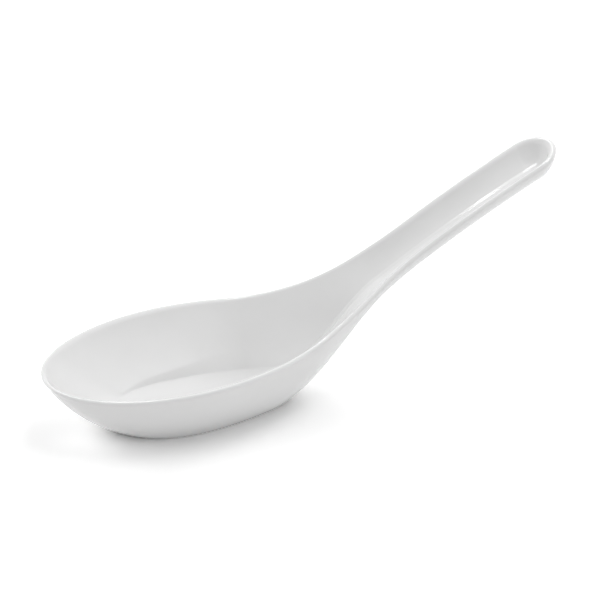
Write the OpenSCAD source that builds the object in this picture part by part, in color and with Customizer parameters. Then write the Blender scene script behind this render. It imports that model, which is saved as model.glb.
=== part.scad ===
// Amuse-bouche spoon: a small glazed serving spoon that stands by itself on a flat base.
// The origin is on the table, under the widest place of the bowl.
// +X runs along the spoon towards the end of the handle, +Y across it and +Z up.

/* [Overall] */
// Length from the tip of the bowl to the end of the handle
overall_length = 135; // [122:1:160]
// Thickness of the rounded rim
rim_thickness = 2; // [1.4:0.1:3]
// Thickness of the bowl's floor
floor_thickness = 3.5; // [2:0.1:5]
// Thickness of the bottom of the handle
handle_thickness = 1.8; // [1.2:0.1:3]

/* [Bowl] */
// Width across the rim at its widest
bowl_width = 45; // [38:0.2:54]
// Distance from the tip to the widest place
bowl_front = 34.5; // [29:0.5:42]
// Height of the rim at the tip
tip_height = 16.5; // [13:0.1:21]
// Thickness of the rim at the tip
tip_thickness = 1.2; // [0.9:0.1:2]
// Distance from the tip to where the rim has its full thickness
tip_thinning = 12; // [4:1:28]
// Angle at which the rim rises from the tip to the neck
rim_tilt = 2.3; // [0:0.1:6]
// Width of the flat base at its widest
base_width = 23; // [17:0.2:29]
// Distance from the tip to the front of the flat base
base_setback = 17.4; // [13:0.1:21]
// Width of the inner floor at its widest
floor_width = 21; // [16:0.2:27]
// Height of the step along the sides of the inner floor, at the widest place
step_height = 2.1; // [0.8:0.1:2.6]
// How far the step leans outwards
step_run = 0.4; // [0.3:0.1:2]
// Distance from the widest place forwards to where the step begins
step_front = 14; // [8:0.5:16]
// Length over which the step begins
step_fade = 3; // [1:0.5:6]
// Roundness of the front wall, from 0 for straight to 1 for a full curve
tip_roundness = 0.3; // [0:0.05:0.8]
// Roundness of the side walls
side_roundness = 0.25; // [0:0.05:0.8]
// Roundness of the inner walls of the neck
neck_roundness = 0; // [0:0.05:0.6]

/* [Neck] */
// Distance from the widest place to where the rim starts to bend up
bend_start = 19; // [12:0.5:26]
// Length over which the rim bends up
bend_length = 31; // [22:0.5:42]
// Distance from the widest place to where the underside leaves the table
lift_start = 20.5; // [14:0.5:26]
// Length over which the underside rises to the handle
lift_length = 32; // [26:0.1:42]
// Length over which the inner floor closes to the handle's channel, from where the underside leaves the table
floor_closing = 14; // [8:0.5:24]
// Distance from the widest place to where the channel starts to round out
channel_start = 40; // [30:0.5:48]
// Distance from the widest place to where the sides have drawn in to the handle
taper_length = 63.5; // [54:0.5:76]
// Distance from the widest place to where the base has drawn in to the handle's keel
base_taper = 51; // [44:0.5:62]
// Length over which the inner floor narrows, apart from its closing at the neck
floor_taper = 64; // [54:0.5:78]
// Distance from the widest place to the plane where the bowl and the handle meet
joint_distance = 30; // [20:0.5:40]

/* [Handle] */
// Width across the rims of the handle
handle_width = 15.4; // [12:0.1:20]
// Height of the handle's section, measured upright
handle_depth = 6; // [5:0.1:9]
// Width of the flat strip along the underside
keel_width = 2.4; // [1.8:0.1:4]
// Width of the flat strip along the bottom of the channel
channel_width = 1.2; // [0.8:0.1:3]
// Slope of the handle where it leaves the neck
neck_angle = 32.2; // [24:0.1:40]
// Slope of the handle at its end
end_angle = 24; // [12:0.5:34]
// Length of the rounded end
end_length = 7; // [6:0.1:9]
// Distance from the end of the rim to the end of the underside
end_setback = 5; // [3.5:0.1:6]
// Roundness of the handle's outer walls
handle_roundness = 0.75; // [0.4:0.05:1]
// Roundness of the channel's walls
channel_roundness = 0.6; // [0.2:0.05:0.8]

/* [Hidden] */

glaze = [0.95, 0.95, 0.94];

// Steps round the front, along the flat base, along the handle and round its end
front_steps = 14;
flat_steps = 6;
handle_steps = 24;
end_steps = 8;

// Steps up a wall and over the rim
wall_steps = 7;
rim_steps = 12;

end_x = overall_length - bowl_front;
end_centre = end_x - end_length;
bend_end = bend_start + bend_length;
base_front = bowl_front - base_setback;

// Lowest and highest place of the step's top on a plain inner wall, as shares of the wall's height
step_lowest = 0.12;
step_highest = 0.45;

// Numbers of the stations where the flat base ends, where the end begins and of the last one
flat_end = front_steps + flat_steps;
end_begin = flat_end + handle_steps;
last_station = end_begin + end_steps;

// Points of one side of a section: the outer wall, the rim, the inner wall and the floor's edge
section_points = 2 * (wall_steps + 1) + rim_steps;

// Size of the block that holds all on one side of the joint
block = 2 * overall_length;

// Even ease from 0 to 1
function ease(t) = (1 - cos(180 * min(max(t, 0), 1))) / 2;

// Height of the rim's top: a gentle slope, a bend at the neck, then a handle that levels off
function rim_height(x) =
    let (
        bend = min(max(x - bend_start, 0), bend_length),
        beyond = max(x - bend_end, 0),
        gain = tan(neck_angle) - tan(rim_tilt),
        loss = tan(neck_angle) - tan(end_angle)
    )
    tip_height
        + tan(rim_tilt) * (min(x, bend_end) + bowl_front)
        + gain * bend * bend / (2 * bend_length)
        + tan(neck_angle) * beyond
        - loss * beyond * beyond / (2 * (end_x - bend_end));

// Share of the way from the flat base to the raised handle
function lift(x) = ease((x - lift_start) / lift_length);

// Height of the underside on the centre line: flat on the table, then up to the handle's depth
function keel_height(x) = (rim_height(x) - handle_depth) * lift(x);

// Slope of the underside, taken over a short length
function keel_slope(x, span = 0.1) = (keel_height(x) - keel_height(x - span)) / span;

// Thickness of the bottom, from the bowl's floor to the handle's
function bottom_thickness(x) = floor_thickness + (handle_thickness - floor_thickness) * lift(x);

// Height of the inner floor, with its thickness square to the underside
function floor_height(x) = keel_height(x) + bottom_thickness(x) * sqrt(1 + pow(keel_slope(x), 2));

// Height of the step round the floor, which grows towards the neck and is lost in the channel
function step_rise(x) =
    step_height * max(1 + x / base_front, 0) * (1 - ease((x - lift_start) / (channel_start - lift_start)));

// How far the step stands out from a plain wall: not at the tip, fully at the widest place, not at the neck
function step_share(x) = ease((x + step_front) / step_fade) * (1 - ease(x / lift_start));

// Roundness of the walls between the tip and the widest place
function front_roundness(x) = tip_roundness + (side_roundness - tip_roundness) * ease(1 + x / bowl_front);

// Roundness of the outer wall at a place along the rim
function outer_roundness(x) = x < 0
    ? front_roundness(x)
    : side_roundness + (handle_roundness - side_roundness) * ease(x / taper_length);

// Roundness of the inner wall, which is flattest between the bowl and the channel
function inner_roundness(x) = x < 0
    ? front_roundness(x)
    : x < lift_start
    ? side_roundness + (neck_roundness - side_roundness) * ease(x / lift_start)
    : neck_roundness
        + (channel_roundness - neck_roundness) * ease((x - channel_start) / (taper_length - channel_start));

// Distance of a station behind the widest place, from there to where the end begins
function station_x(station) = station <= flat_end
    ? lift_start * (station - front_steps) / flat_steps
    : lift_start + (end_centre - lift_start) * (station - flat_end) / handle_steps;

// Point of a level's half outline: a quarter ellipse, level stations, then a quarter ellipse
function outline(station, front, bowl, handle, end, length) =
    station <= front_steps
    ? let (turn = 90 * station / front_steps)
        [-front * cos(turn), bowl * sin(turn)]
    : station <= end_begin
    ? let (x = station_x(station))
        [x, bowl + (handle - bowl) * ease(x / length)]
    : let (turn = 90 * (station - end_begin) / end_steps)
        [end_centre + end * sin(turn), handle * cos(turn)];

// Outline at the rim, drawn in by a distance
function rim_outline(station, inset) =
    outline(
        station,
        bowl_front - inset,
        bowl_width / 2 - inset,
        handle_width / 2 - inset,
        end_length - inset,
        taper_length
    );

// Outline of the flat underside
function base_outline(station) =
    outline(
        station,
        base_front,
        base_width / 2,
        keel_width / 2,
        end_length - end_setback,
        base_taper
    );

// Outline of the inner floor, which closes to the channel's strip at the neck
function floor_outline(station) =
    let (
        strip = channel_width / 2,
        plain = outline(station, base_front, floor_width / 2, strip, end_length - end_setback, floor_taper)
    )
    [plain[0], between(plain[1], min(plain[1], strip), ease((plain[0] - lift_start) / floor_closing))];

// Direction in which the wall runs into the rim
function wall_direction(station) =
    let (
        base = base_outline(station),
        rim = rim_outline(station, 0),
        round = outer_roundness(rim[0]),
        run = (rim - base) * (1 - round),
        rise = (rim_height(rim[0]) - keel_height(base[0])) * (1 + round)
    )
    [run[0], run[1], rise] / norm([run[0], run[1], rise]);

// Corner that a wall from low to high bulges towards
function wall_corner(low, high, round) =
    [
        low[0] + (high[0] - low[0]) * (1 + round) / 2,
        low[1] + (high[1] - low[1]) * (1 + round) / 2,
        low[2] + (high[2] - low[2]) * (1 - round) / 2
    ];

// Point on the curve from low to high that bulges towards a corner
function curve_point(low, corner, high, t) =
    low * (1 - t) * (1 - t) + corner * 2 * t * (1 - t) + high * t * t;

// Part of the way from one point to another
function between(from, to, share) = from + (to - from) * share;

// Radius of the rounded rim, which is thinner round the tip
function rim_radius(x) =
    between(tip_thickness, rim_thickness, ease((x + bowl_front) / tip_thinning)) / 2;

// Turn over the rim at which it runs on into the inner wall
function roll_end(lean, inner_edge, floor_edge, round) =
    let (
        run = norm([inner_edge[0] - floor_edge[0], inner_edge[1] - floor_edge[1]]) * (1 - round),
        rise = (inner_edge[2] - floor_edge[2]) * (1 + round)
    )
    180 - atan(max(lean[2] * run / rise - norm([lean[0], lean[1]]), 0));

// Point of the rim at a turn from its outer edge
function roll_point(outer_edge, inner_edge, lean, radius, turn) =
    between(inner_edge, outer_edge, (1 + cos(turn)) / 2) + lean * radius * sin(turn);

// Inner wall from the rim down to the floor, with the step round the floor
function inner_wall(high, low, round) =
    let (
        share = step_share(low[0]),
        rise = step_rise(low[0]),
        place = min(max(rise / (high[2] - low[2]), step_lowest), step_highest),
        lean = step_run / norm([high[0] - low[0], high[1] - low[1]]),
        ledge = [
            low[0] + (high[0] - low[0]) * lean,
            low[1] + (high[1] - low[1]) * lean,
            low[2] + rise
        ],
        plain_corner = wall_corner(low, high, round),
        foot = between(curve_point(low, plain_corner, high, place), ledge, share),
        corner = between(between(plain_corner, high, place), wall_corner(ledge, high, round), share)
    )
    concat([for (k = [wall_steps:-1:0]) curve_point(foot, corner, high, k / wall_steps)], [low]);

// Section of one side: up the outer wall, over the rim and down the inner wall
// The rim is round, leans as the outer wall does and runs on into the inner wall
function section(station) =
    let (
        base = base_outline(station),
        floor = floor_outline(station),
        lean = wall_direction(station),
        radius = rim_radius(rim_outline(station, 0)[0]),
        reach = radius * norm([1, lean[0], lean[1]]),
        outer = rim_outline(station, reach - radius),
        inner = rim_outline(station, reach + radius),
        base_edge = [base[0], base[1], keel_height(base[0])],
        floor_edge = [floor[0], floor[1], floor_height(floor[0])],
        outer_edge = [outer[0], outer[1], rim_height(outer[0]) - radius * lean[2]],
        inner_edge = [inner[0], inner[1], rim_height(inner[0]) - radius * lean[2]],
        outer_corner = wall_corner(base_edge, outer_edge, outer_roundness(outer[0])),
        round = inner_roundness(outer[0]),
        last_turn = roll_end(lean, inner_edge, floor_edge, round)
    )
    concat(
        [for (k = [0:wall_steps]) curve_point(base_edge, outer_corner, outer_edge, k / wall_steps)],
        [for (k = [1:rim_steps - 1])
            roll_point(outer_edge, inner_edge, lean, radius, last_turn * k / rim_steps)],
        inner_wall(roll_point(outer_edge, inner_edge, lean, radius, last_turn), floor_edge, round)
    );

// Number of a section's corner on the -Y side, and on the +Y side
// At the tip and at the end both sides share one section
function near_corner(station, k) = 2 * section_points * station + k;
function far_corner(station, k) = station == 0 || station == last_station
    ? near_corner(station, k)
    : near_corner(station, k) + section_points;

// The two triangles of a four-cornered face, without one that a shared corner flattens
function two_triangles(a, b, c, d) =
    [for (face = [[a, b, c], [a, c, d]])
        if (face[0] != face[1] && face[1] != face[2] && face[0] != face[2]) face];

// The whole spoon as one closed shell
module shell() {
    top = section_points - 1;
    points = [
        for (station = [0:last_station])
            let (side = section(station))
            each concat([for (p = side) [p[0], -p[1], p[2]]], side)
    ];
    near_walls = [
        for (s = [0:last_station - 1], k = [0:top - 1])
            each two_triangles(
                near_corner(s, k), near_corner(s, k + 1), near_corner(s + 1, k + 1), near_corner(s + 1, k)
            )
    ];
    far_walls = [
        for (s = [0:last_station - 1], k = [0:top - 1])
            each two_triangles(
                far_corner(s, k), far_corner(s + 1, k), far_corner(s + 1, k + 1), far_corner(s, k + 1)
            )
    ];
    underside = [
        for (s = [0:last_station - 1])
            each two_triangles(
                near_corner(s, 0), near_corner(s + 1, 0), far_corner(s + 1, 0), far_corner(s, 0)
            )
    ];
    inner_floor = [
        for (s = [0:last_station - 1])
            each two_triangles(
                near_corner(s + 1, top), near_corner(s, top), far_corner(s, top), far_corner(s + 1, top)
            )
    ];
    polyhedron(points, concat(near_walls, far_walls, underside, inner_floor));
}

// Oval bowl with its flat base, up to the joint plane
module bowl() {
    color(glaze)
        intersection() {
            shell();
            translate([joint_distance - block, -block / 2, -block / 2]) cube(block);
        }
}

// Neck and channelled handle, from the joint plane to the rounded end
module handle() {
    color(glaze)
        intersection() {
            shell();
            translate([joint_distance, -block / 2, -block / 2]) cube(block);
        }
}

bowl();
handle();
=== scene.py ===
"""Amuse-bouche spoon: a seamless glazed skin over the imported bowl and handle, on a white table."""

import math

import bmesh
import bpy
import numpy as np
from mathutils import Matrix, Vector


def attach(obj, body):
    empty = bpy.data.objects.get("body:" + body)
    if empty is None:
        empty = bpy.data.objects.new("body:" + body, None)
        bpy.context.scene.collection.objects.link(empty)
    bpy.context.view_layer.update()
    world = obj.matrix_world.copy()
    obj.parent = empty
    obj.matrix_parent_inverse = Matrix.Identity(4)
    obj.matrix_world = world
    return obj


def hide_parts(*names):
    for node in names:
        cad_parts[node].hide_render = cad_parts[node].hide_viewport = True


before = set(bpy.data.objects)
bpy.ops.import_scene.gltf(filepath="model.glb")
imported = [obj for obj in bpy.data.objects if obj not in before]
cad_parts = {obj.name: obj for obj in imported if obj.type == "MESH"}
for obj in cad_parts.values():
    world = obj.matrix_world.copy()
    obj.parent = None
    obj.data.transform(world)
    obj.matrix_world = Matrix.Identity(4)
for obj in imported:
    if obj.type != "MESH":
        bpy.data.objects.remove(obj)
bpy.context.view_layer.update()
scene = bpy.context.scene
MM = 0.001

# Share of the full size that keeps the skin inside the solids' rounded box
INSIDE = 0.99999

# Sizes in millimetres, the same as the solids'
LENGTH = 135.0
RIM = 2.0
FLOOR_THICKNESS = 3.5
HANDLE_THICKNESS = 1.8
BOWL_WIDTH = 45.0
BOWL_FRONT = 34.5
TIP_HEIGHT = 16.5
TIP_THICKNESS = 1.2
TIP_THINNING = 12.0
RIM_TILT = 2.3
BASE_WIDTH = 23.0
BASE_SETBACK = 17.4
BASE_FRONT = BOWL_FRONT - BASE_SETBACK
FLOOR_WIDTH = 21.0
STEP_HEIGHT = 2.1
STEP_RUN = 0.4
STEP_FRONT = 14.0
STEP_FADE = 3.0
TIP_ROUNDNESS = 0.3
SIDE_ROUNDNESS = 0.25
NECK_ROUNDNESS = 0.0
HANDLE_ROUNDNESS = 0.75
CHANNEL_ROUNDNESS = 0.6
BEND_START = 19.0
BEND_LENGTH = 31.0
BEND_END = BEND_START + BEND_LENGTH
LIFT_START = 20.5
LIFT_LENGTH = 32.0
FLOOR_CLOSING = 14.0
CHANNEL_START = 40.0
TAPER = 63.5
BASE_TAPER = 51.0
FLOOR_TAPER = 64.0
HANDLE_WIDTH = 15.4
HANDLE_DEPTH = 6.0
KEEL_WIDTH = 2.4
CHANNEL_WIDTH = 1.2
NECK_ANGLE = 32.2
END_ANGLE = 24.0
END_LENGTH = 7.0
END_SETBACK = 5.0
END_KEEL = END_LENGTH - END_SETBACK
END_X = LENGTH - BOWL_FRONT
END_CENTRE = END_X - END_LENGTH

# Lowest and highest place of the step's foot on a plain wall, as shares of its height
STEP_LOWEST = 0.12
STEP_HIGHEST = 0.45

# Softening of the edges that the solids leave sharp
BASE_SOFT = 0.3
STEP_SOFT = 0.5
FLOOR_SOFT = 0.4

# Largest shares of a flat strip's width and of the step's height that a softened edge takes
STRIP_SHARE = 0.6
STEP_TOP_SHARE = 0.45
STEP_BOTTOM_SHARE = 0.4

# Size of the inner loop on the base and on the floor, as a share of their outlines
INNER_LOOP = 0.8

# Steps round the front, along the flat base, along the handle and round its end
FRONT_STEPS = 56
FLAT_STEPS = 20
HANDLE_STEPS = 96
END_STEPS = 36

# Steps up a wall, over the rim and round a softened edge
WALL_STEPS = 18
RIM_STEPS = 12
EDGE_STEPS = 6

# Numbers of the stations where the flat base ends, where the handle's end begins and of the last one
FLAT_END = FRONT_STEPS + FLAT_STEPS
END_BEGIN = FLAT_END + HANDLE_STEPS
LAST = END_BEGIN + END_STEPS

# Table: its tone as a light, its tone for the camera and in reflections, and its reach in metres
TABLE_TONE = 0.93
TABLE_SEEN = 1.3
TABLE_REACH = 3.0

# Strength of the surroundings as a light
AMBIENT = 0.21

# Place in metres that the lamps stand round and face, and their distance from it
LIT = Vector((0.03, 0.0, 0.02))
LAMP_DISTANCE = 1.0

# Camera at the photograph's angle, with lengths in millimetres and places in the frame in pixels
PIXELS = 600
SCALE = 4.041
DISTANCE = 700.0
SENSOR = 36.0
AZIMUTH = math.radians(22.875)
ELEVATION = math.radians(28.653)
TARGET = Vector((33.0, 0.0, 20.0))
TARGET_PIXEL = (303.318, 316.77)

# Numbers of the colour sockets of a Mix node
MIX_FIRST, MIX_SECOND, MIX_RESULT = 6, 7, 2


def slope(angle):
    return math.tan(math.radians(angle))


def clamp(t):
    return min(max(t, 0.0), 1.0)


def ease(t):
    """Even ease from 0 to 1."""
    return (1 - math.cos(math.pi * clamp(t))) / 2


def between(a, b, share):
    """Part of the way from one value or point to another."""
    return a + (b - a) * share


def rim_height(x):
    """Height of the rim's top: a gentle slope, a bend at the neck, then a handle that levels off."""
    bend = min(max(x - BEND_START, 0.0), BEND_LENGTH)
    beyond = max(x - BEND_END, 0.0)
    gain = slope(NECK_ANGLE) - slope(RIM_TILT)
    loss = slope(NECK_ANGLE) - slope(END_ANGLE)
    return (
        TIP_HEIGHT
        + slope(RIM_TILT) * (min(x, BEND_END) + BOWL_FRONT)
        + gain * bend * bend / (2 * BEND_LENGTH)
        + slope(NECK_ANGLE) * beyond
        - loss * beyond * beyond / (2 * (END_X - BEND_END))
    )


def lift(x):
    """Share of the way from the flat base to the raised handle."""
    return ease((x - LIFT_START) / LIFT_LENGTH)


def keel_height(x):
    """Height of the underside on the centre line."""
    return (rim_height(x) - HANDLE_DEPTH) * lift(x)


def floor_height(x, span=0.1):
    """Height of the inner floor, with its thickness square to the underside."""
    rise = (keel_height(x) - keel_height(x - span)) / span
    return keel_height(x) + between(FLOOR_THICKNESS, HANDLE_THICKNESS, lift(x)) * math.sqrt(1 + rise * rise)


def step_rise(x):
    """Height of the step round the floor, which grows towards the neck and is lost in the channel."""
    growth = max(1 + x / BASE_FRONT, 0.0)
    return STEP_HEIGHT * growth * (1 - ease((x - LIFT_START) / (CHANNEL_START - LIFT_START)))


def step_share(x):
    """How far the step stands out from a plain wall."""
    return ease((x + STEP_FRONT) / STEP_FADE) * (1 - ease(x / LIFT_START))


def front_roundness(x):
    """Roundness of the walls between the tip and the widest place."""
    return between(TIP_ROUNDNESS, SIDE_ROUNDNESS, ease(1 + x / BOWL_FRONT))


def outer_roundness(x):
    """Roundness of the outer wall, from 0 for straight to 1 for a full curve."""
    if x < 0:
        return front_roundness(x)
    return between(SIDE_ROUNDNESS, HANDLE_ROUNDNESS, ease(x / TAPER))


def inner_roundness(x):
    """Roundness of the inner wall, which is flattest between the bowl and the channel."""
    if x < 0:
        return front_roundness(x)
    if x < LIFT_START:
        return between(SIDE_ROUNDNESS, NECK_ROUNDNESS, ease(x / LIFT_START))
    return between(NECK_ROUNDNESS, CHANNEL_ROUNDNESS, ease((x - CHANNEL_START) / (TAPER - CHANNEL_START)))


def outline(station, front, bowl, handle, end, taper):
    """Point of a level's half outline at a station."""
    if station <= FRONT_STEPS:
        turn = math.pi / 2 * station / FRONT_STEPS
        return -front * math.cos(turn), bowl * math.sin(turn)
    if station <= END_BEGIN:
        if station <= FLAT_END:
            x = LIFT_START * (station - FRONT_STEPS) / FLAT_STEPS
        else:
            x = between(LIFT_START, END_CENTRE, (station - FLAT_END) / HANDLE_STEPS)
        return x, between(bowl, handle, ease(x / taper))
    turn = math.pi / 2 * (station - END_BEGIN) / END_STEPS
    return END_CENTRE + end * math.sin(turn), handle * math.cos(turn)


def rim_outline(station, inset):
    """Outline at the rim, drawn in by a distance."""
    return outline(
        station,
        BOWL_FRONT - inset,
        BOWL_WIDTH / 2 - inset,
        HANDLE_WIDTH / 2 - inset,
        END_LENGTH - inset,
        TAPER,
    )


def base_outline(station, share=1.0):
    """Outline of the flat bottom, or of a loop at a share of its size."""
    return outline(
        station,
        BASE_FRONT * share,
        BASE_WIDTH / 2 * share,
        KEEL_WIDTH / 2 * share,
        END_KEEL * share,
        BASE_TAPER,
    )


def floor_outline(station, share=1.0):
    """Outline of the inner floor, which closes to the channel's strip at the neck."""
    strip = CHANNEL_WIDTH / 2 * share
    x, y = outline(station, BASE_FRONT * share, FLOOR_WIDTH / 2 * share, strip, END_KEEL * share, FLOOR_TAPER)
    return x, between(y, min(y, strip), ease((x - LIFT_START) / FLOOR_CLOSING))


def wall_direction(station):
    """Direction in which the wall runs into the rim."""
    base, rim = np.array(base_outline(station)), np.array(rim_outline(station, 0))
    roundness = outer_roundness(rim[0])
    rise = rim_height(rim[0]) - keel_height(base[0])
    direction = np.array([*(rim - base) * (1 - roundness), rise * (1 + roundness)])
    return direction / np.linalg.norm(direction)


def wall_corner(low, high, roundness):
    """Corner that a wall from low to high bulges towards."""
    return low + (high - low) * np.array([(1 + roundness) / 2, (1 + roundness) / 2, (1 - roundness) / 2])


def curve(low, corner, high, t):
    """Point on the curve from low to high that bulges towards a corner."""
    return low * (1 - t) ** 2 + corner * 2 * t * (1 - t) + high * t * t


def place_at(low, corner, distance):
    """Parameter of a wall's curve at a short distance from its low end."""
    return distance / (2 * np.linalg.norm(corner - low))


def rim_radius(x):
    """Radius of the rounded rim, which is thinner round the tip."""
    return between(TIP_THICKNESS, RIM, ease((x + BOWL_FRONT) / TIP_THINNING)) / 2


def roll_end(lean, inner_edge, floor_edge, roundness):
    """Turn over the rim at which it runs on into the inner wall."""
    run = np.linalg.norm((inner_edge - floor_edge)[:2]) * (1 - roundness)
    rise = (inner_edge[2] - floor_edge[2]) * (1 + roundness)
    return math.pi - math.atan(max(lean[2] * run / rise - np.linalg.norm(lean[:2]), 0.0))


def soft_edge(before, edge, after):
    """Points of a rounded edge between two places on either side of it."""
    return [curve(before, edge, after, k / EDGE_STEPS) for k in range(EDGE_STEPS + 1)]


def section(station):
    """One side of a section: the underside, up the outer wall, over the rim, down to the inner floor."""
    base, base_loop = base_outline(station), base_outline(station, INNER_LOOP)
    floor, floor_loop = floor_outline(station), floor_outline(station, INNER_LOOP)
    base_edge, base_loop = (np.array([*p, keel_height(p[0])]) for p in (base, base_loop))
    floor_edge, floor_loop = (np.array([*p, floor_height(p[0])]) for p in (floor, floor_loop))

    # The rim is round, leans as the outer wall does and runs on into the inner wall
    lean = wall_direction(station)
    radius = rim_radius(rim_outline(station, 0)[0])
    reach = radius * math.sqrt(1 + lean[0] ** 2 + lean[1] ** 2)
    outer, inner = rim_outline(station, reach - radius), rim_outline(station, reach + radius)
    outer_edge, inner_edge = (np.array([*p, rim_height(p[0]) - radius * lean[2]]) for p in (outer, inner))
    outer_corner = wall_corner(base_edge, outer_edge, outer_roundness(outer[0]))
    roundness = inner_roundness(outer[0])
    last_turn = roll_end(lean, inner_edge, floor_edge, roundness)
    roll = []
    for k in range(1, RIM_STEPS + 1):
        turn = last_turn * k / RIM_STEPS
        across = between(inner_edge, outer_edge, (1 + math.cos(turn)) / 2)
        roll.append(across + lean * (radius * math.sin(turn)))
    inner_edge = roll[-1]

    # The inner wall meets the step at its foot
    share, rise = step_share(floor[0]), step_rise(floor[0])
    place = min(max(rise / (inner_edge[2] - floor_edge[2]), STEP_LOWEST), STEP_HIGHEST)
    run = STEP_RUN / np.linalg.norm((inner_edge - floor_edge)[:2])
    ledge = floor_edge + (inner_edge - floor_edge) * np.array([run, run, 0]) + np.array([0, 0, rise])
    plain_corner = wall_corner(floor_edge, inner_edge, roundness)
    foot = between(curve(floor_edge, plain_corner, inner_edge, place), ledge, share)
    step_corner = wall_corner(ledge, inner_edge, roundness)
    inner_corner = between(between(plain_corner, inner_edge, place), step_corner, share)

    # From the underside round the base's edge, up the outer wall and over the rim
    strip = np.linalg.norm(base_edge - base_loop)
    cut = min(BASE_SOFT, STRIP_SHARE * strip)
    first = place_at(base_edge, outer_corner, cut)
    points = [base_loop]
    points += soft_edge(
        between(base_edge, base_loop, cut / strip),
        base_edge,
        curve(base_edge, outer_corner, outer_edge, first),
    )
    points += [
        curve(base_edge, outer_corner, outer_edge, between(first, 1, k / WALL_STEPS))
        for k in range(1, WALL_STEPS + 1)
    ]
    points += roll[:-1]

    # Down the inner wall, over the step and round the floor's edge
    drop = np.linalg.norm(foot - floor_edge)
    strip = np.linalg.norm(floor_edge - floor_loop)
    step_cut = min(STEP_SOFT, STEP_TOP_SHARE * drop)
    cut = min(FLOOR_SOFT, STEP_BOTTOM_SHARE * drop, STRIP_SHARE * strip)
    first = place_at(foot, inner_corner, step_cut)
    points += [
        curve(foot, inner_corner, inner_edge, between(1, first, k / WALL_STEPS)) for k in range(WALL_STEPS)
    ]
    points += soft_edge(
        curve(foot, inner_corner, inner_edge, first), foot, between(foot, floor_edge, step_cut / drop)
    )
    points += soft_edge(
        between(floor_edge, foot, cut / drop), floor_edge, between(floor_edge, floor_loop, cut / strip)
    )
    points.append(floor_loop)
    return points


def spoon_mesh():
    """The whole spoon as one closed, smooth mesh."""
    mesh = bmesh.new()
    near, far = [], []
    for station in range(LAST + 1):
        side = [p * MM * INSIDE for p in section(station)]
        closed = station in (0, LAST)
        near.append([mesh.verts.new((p[0], 0.0 if closed else -p[1], p[2])) for p in side])
        far.append(near[-1] if closed else [mesh.verts.new(p) for p in side])

    def face(*corners):
        loop = [v for i, v in enumerate(corners) if v not in corners[:i]]
        if len(loop) > 2:
            mesh.faces.new(loop)

    top = len(near[0]) - 1
    for s in range(LAST):
        for k in range(top):
            face(near[s][k], near[s][k + 1], near[s + 1][k + 1], near[s + 1][k])
            face(far[s][k], far[s + 1][k], far[s + 1][k + 1], far[s][k + 1])
        face(near[s][0], near[s + 1][0], far[s + 1][0], far[s][0])
        face(near[s + 1][top], near[s][top], far[s][top], far[s + 1][top])
    bmesh.ops.recalc_face_normals(mesh, faces=mesh.faces)
    for f in mesh.faces:
        f.smooth = True
    data = bpy.data.meshes.new("spoon")
    mesh.to_mesh(data)
    mesh.free()
    return data


def node(tree, kind, **values):
    """New shader node, with its settings and its sockets' values."""
    made = tree.nodes.new(kind)
    for name, value in values.items():
        if name in made.inputs:
            made.inputs[name].default_value = value
        else:
            setattr(made, name, value)
    return made


def glaze_material():
    """Glossy white glaze: faint clouding, a slightly uneven gloss and a gently waved surface."""
    material = bpy.data.materials.new("white_glaze")
    material.use_nodes = True
    tree = material.node_tree
    link = tree.links.new
    shader = tree.nodes["Principled BSDF"]
    shader.inputs["IOR"].default_value = 1.5
    place = node(tree, "ShaderNodeTexCoord")
    clouds = node(tree, "ShaderNodeTexNoise", Scale=70.0, Detail=3.0)
    tint = node(tree, "ShaderNodeValToRGB")
    tint.color_ramp.elements[0].position = 0.3
    tint.color_ramp.elements[0].color = (0.862, 0.862, 0.860, 1)
    tint.color_ramp.elements[1].position = 0.7
    tint.color_ramp.elements[1].color = (0.885, 0.885, 0.884, 1)
    gloss = node(tree, "ShaderNodeMapRange")
    gloss.inputs["To Min"].default_value = 0.09
    gloss.inputs["To Max"].default_value = 0.15
    waves = node(tree, "ShaderNodeTexNoise", Scale=160.0, Detail=2.0)
    bump = node(tree, "ShaderNodeBump", Strength=0.05, Distance=0.0004)
    link(place.outputs["Object"], clouds.inputs["Vector"])
    link(place.outputs["Object"], waves.inputs["Vector"])
    link(clouds.outputs["Fac"], tint.inputs["Fac"])
    link(tint.outputs["Color"], shader.inputs["Base Color"])
    link(clouds.outputs["Fac"], gloss.inputs["Value"])
    link(gloss.outputs["Result"], shader.inputs["Roughness"])
    link(waves.outputs["Fac"], bump.inputs["Height"])
    link(bump.outputs["Normal"], shader.inputs["Normal"])
    return material


def floor_material():
    """White table: plain for the light, lifted to white for the camera, and with the spoon's shadow."""
    material = bpy.data.materials.new("white_table")
    material.use_nodes = True
    tree = material.node_tree
    link = tree.links.new
    shader = tree.nodes["Principled BSDF"]
    shader.inputs["Roughness"].default_value = 1.0
    shader.inputs["Specular IOR Level"].default_value = 0.0
    path = node(tree, "ShaderNodeLightPath")
    mirrored = node(tree, "ShaderNodeMath", operation="MAXIMUM")
    seen = node(tree, "ShaderNodeMath", operation="MAXIMUM")
    colour = node(tree, "ShaderNodeMix", data_type="RGBA")
    colour.inputs[MIX_FIRST].default_value = (TABLE_TONE, TABLE_TONE, TABLE_TONE, 1)
    colour.inputs[MIX_SECOND].default_value = (TABLE_SEEN, TABLE_SEEN, TABLE_SEEN, 1)
    link(path.outputs["Is Glossy Ray"], mirrored.inputs[0])
    link(path.outputs["Is Transmission Ray"], mirrored.inputs[1])
    link(path.outputs["Is Camera Ray"], seen.inputs[0])
    link(mirrored.outputs["Value"], seen.inputs[1])
    link(seen.outputs["Value"], colour.inputs["Factor"])
    link(colour.outputs[MIX_RESULT], shader.inputs["Base Color"])
    return material


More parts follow.
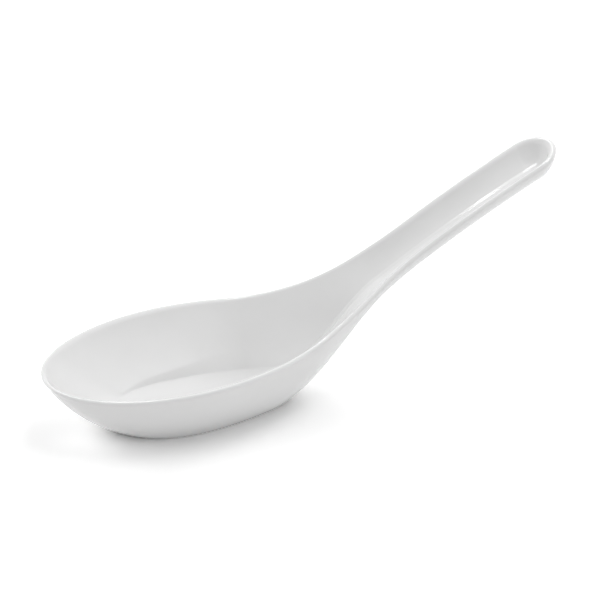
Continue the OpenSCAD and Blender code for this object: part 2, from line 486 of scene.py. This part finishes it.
def soft_box(name, azimuth, elevation, size, power, glint=False):
    """Area lamp in a direction in degrees, which lights the spoon or only glints in its glaze."""
    lamp = bpy.data.lights.new(name, "AREA")
    lamp.shape = "RECTANGLE"
    lamp.size, lamp.size_y = size
    lamp.energy = power
    made = bpy.data.objects.new(name, lamp)
    turn, rise = math.radians(azimuth), math.radians(elevation)
    away = Vector((math.cos(rise) * math.cos(turn), math.cos(rise) * math.sin(turn), math.sin(rise)))
    made.location = LIT + away * LAMP_DISTANCE
    made.rotation_euler = (-away).to_track_quat("-Z", "Y").to_euler()
    made.visible_diffuse = not glint
    made.visible_glossy = glint
    scene.collection.objects.link(made)


# Seamless skin in place of the solids
spoon = bpy.data.objects.new("spoon", spoon_mesh())
scene.collection.objects.link(spoon)
spoon.data.materials.append(glaze_material())
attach(spoon, "root")
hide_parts("bowl", "handle")

# White table under the spoon
table = bpy.data.meshes.new("table")
corners = [(x * TABLE_REACH, y * TABLE_REACH, 0) for x, y in ((-1, -1), (1, -1), (1, 1), (-1, 1))]
table.from_pydata(corners, [], [(0, 1, 2, 3)])
floor = bpy.data.objects.new("table", table)
scene.collection.objects.link(floor)
table.materials.append(floor_material())

# White surroundings for the camera and in reflections, dimmer as a light
world = bpy.data.worlds.new("surroundings")
scene.world = world
world.use_nodes = True
tree = world.node_tree
background = tree.nodes["Background"]
background.inputs["Color"].default_value = (1, 1, 1, 1)
path = node(tree, "ShaderNodeLightPath")
mirrored = node(tree, "ShaderNodeMath", operation="MAXIMUM")
seen = node(tree, "ShaderNodeMath", operation="MAXIMUM")
level = node(tree, "ShaderNodeMapRange")
level.inputs["To Min"].default_value = AMBIENT
level.inputs["To Max"].default_value = 1.0
tree.links.new(path.outputs["Is Camera Ray"], seen.inputs[0])
tree.links.new(path.outputs["Is Glossy Ray"], mirrored.inputs[0])
tree.links.new(path.outputs["Is Transmission Ray"], mirrored.inputs[1])
tree.links.new(mirrored.outputs["Value"], seen.inputs[1])
tree.links.new(seen.outputs["Value"], level.inputs["Value"])
tree.links.new(level.outputs["Result"], background.inputs["Strength"])

# Broad lamps light the spoon, and three small ones only glint in its glaze
soft_box("right", 26, 45, (0.6, 0.45), 3.5)
soft_box("top", 330, 68, (0.45, 0.45), 2.0)
soft_box("left", 170, 45, (0.9, 0.45), 3.3)
soft_box("back", 103, 20, (0.9, 0.45), 3.5)
soft_box("front", 300, 20, (0.45, 0.45), 1.75)
soft_box("streak", 94.8, 38, (0.03, 0.2), 0.2, glint=True)
soft_box("rim_line", 83, 57, (0.14, 0.24), 1.15, glint=True)
soft_box("end_band", 87, 40, (0.07, 0.12), 0.26, glint=True)

# Camera, with the spoon placed in the frame as in the photograph
right = Vector((math.cos(AZIMUTH), -math.sin(AZIMUTH), 0))
forward = Vector(
    (math.cos(ELEVATION) * math.sin(AZIMUTH), math.cos(ELEVATION) * math.cos(AZIMUTH), -math.sin(ELEVATION))
)
up = right.cross(forward)
across, down = ((pixel - PIXELS / 2) / SCALE for pixel in TARGET_PIXEL)
aim = TARGET - right * across + up * down
camera_data = bpy.data.cameras.new("camera")
camera_data.sensor_width = SENSOR
camera_data.lens = SENSOR * SCALE * DISTANCE / PIXELS
camera = bpy.data.objects.new("camera", camera_data)
camera.location = (TARGET - forward * DISTANCE) * MM
camera.rotation_euler = (aim * MM - camera.location).to_track_quat("-Z", "Y").to_euler()
scene.collection.objects.link(camera)
scene.camera = camera

scene.view_settings.view_transform = "Standard"
